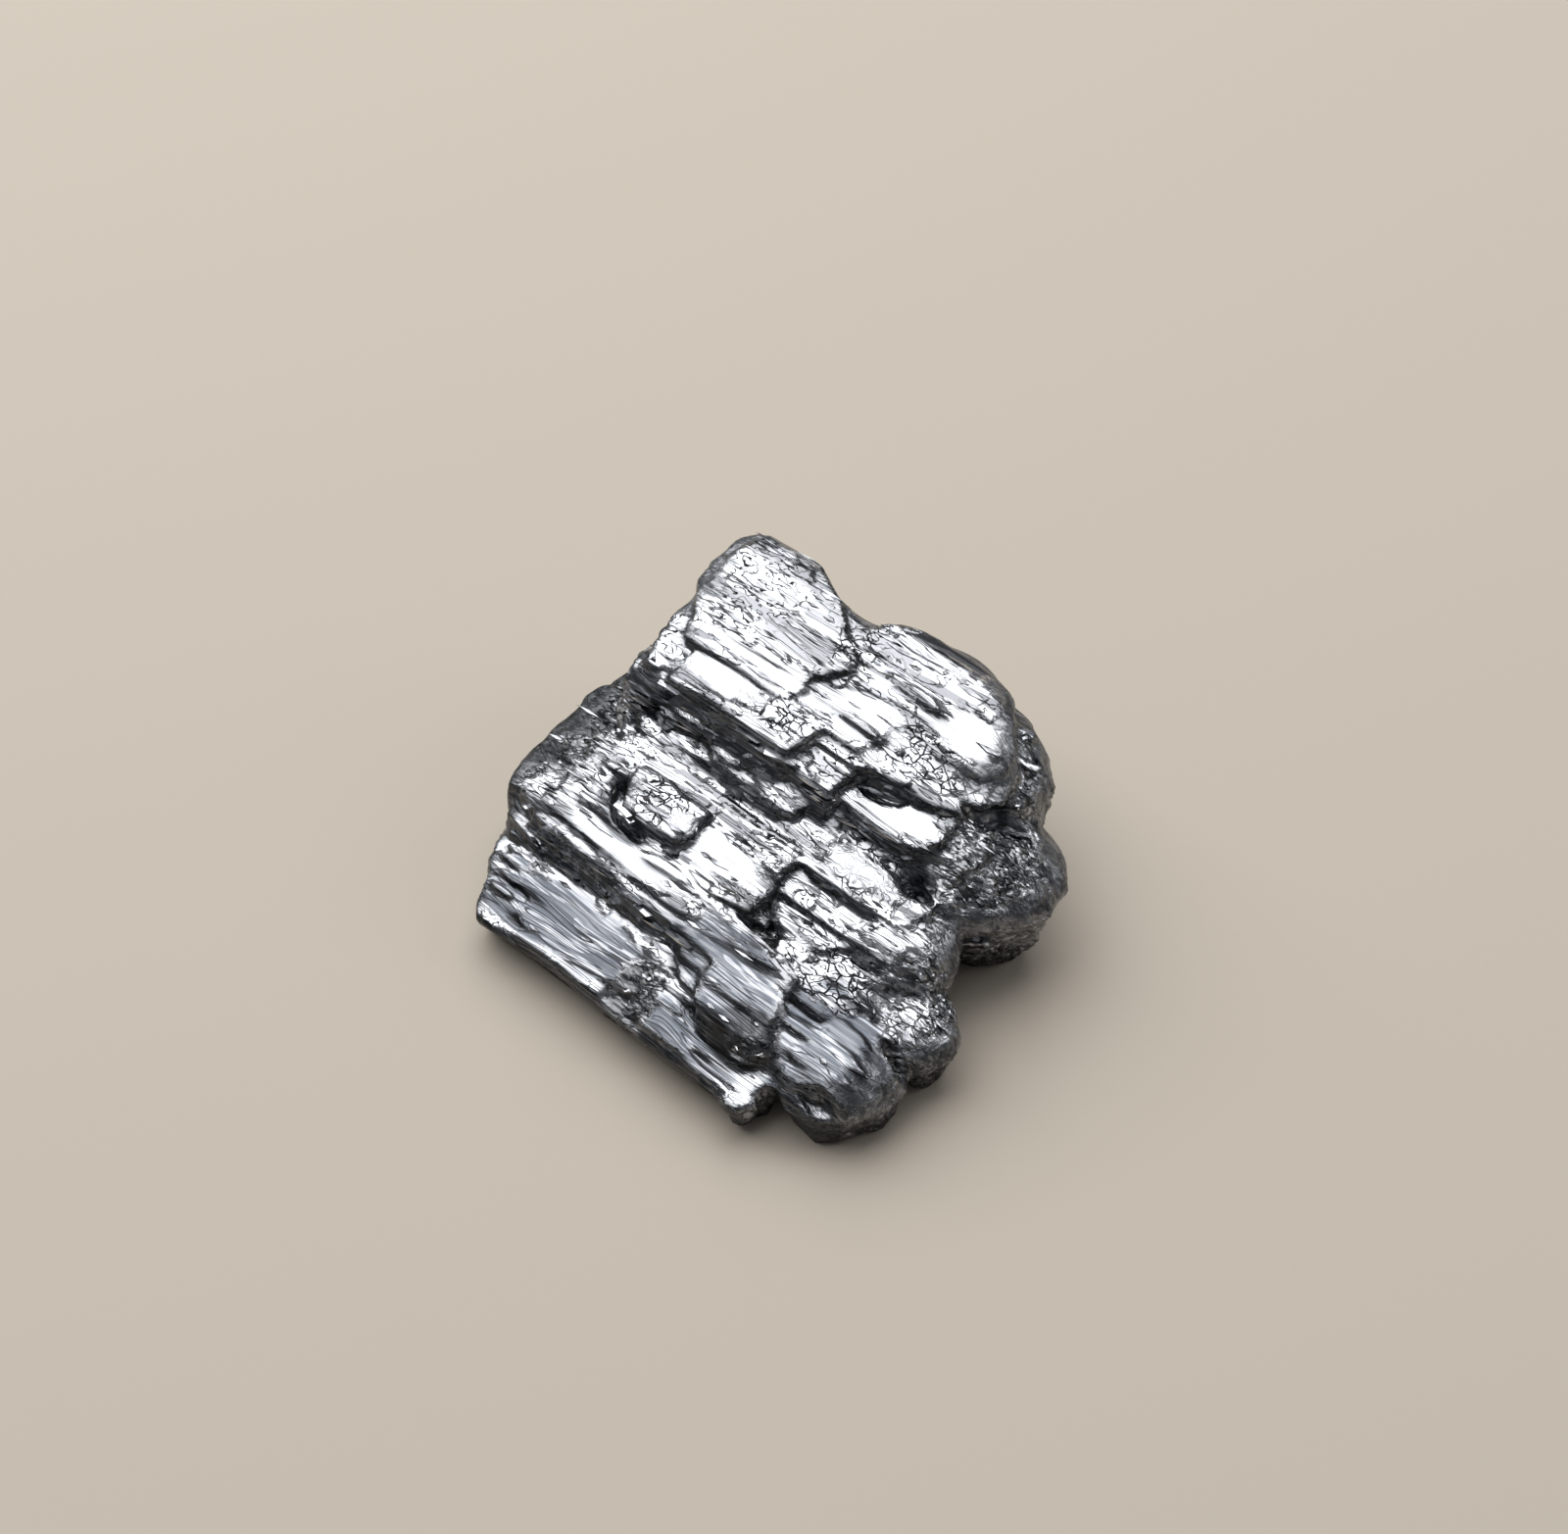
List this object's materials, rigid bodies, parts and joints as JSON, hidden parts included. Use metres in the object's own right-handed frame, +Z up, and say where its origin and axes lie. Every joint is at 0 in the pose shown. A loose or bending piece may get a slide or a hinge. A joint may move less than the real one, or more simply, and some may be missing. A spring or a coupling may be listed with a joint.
{
  "type": "andorite mineral specimen",
  "caption": "Mass of intergrown metallic grey andorite crystals: stepped, striated plates and dark walls with rounded granular ends, resting on its flat underside.",
  "frame": {"origin": "bottom centre of the bounding box", "axes": "+X along the striations, +Y to the rear where the highest crystals are, +Z up from the resting face"},
  "size_m": [0.0318, 0.0286, 0.0127],
  "materials": {
    "andorite": "metallic lustre, striated, silvery on the flat faces and dark grey on the rough ends"
  },
  "bodies": {
    "root": {"andorite_crystals": "andorite"}
  },
  "joints": []
}
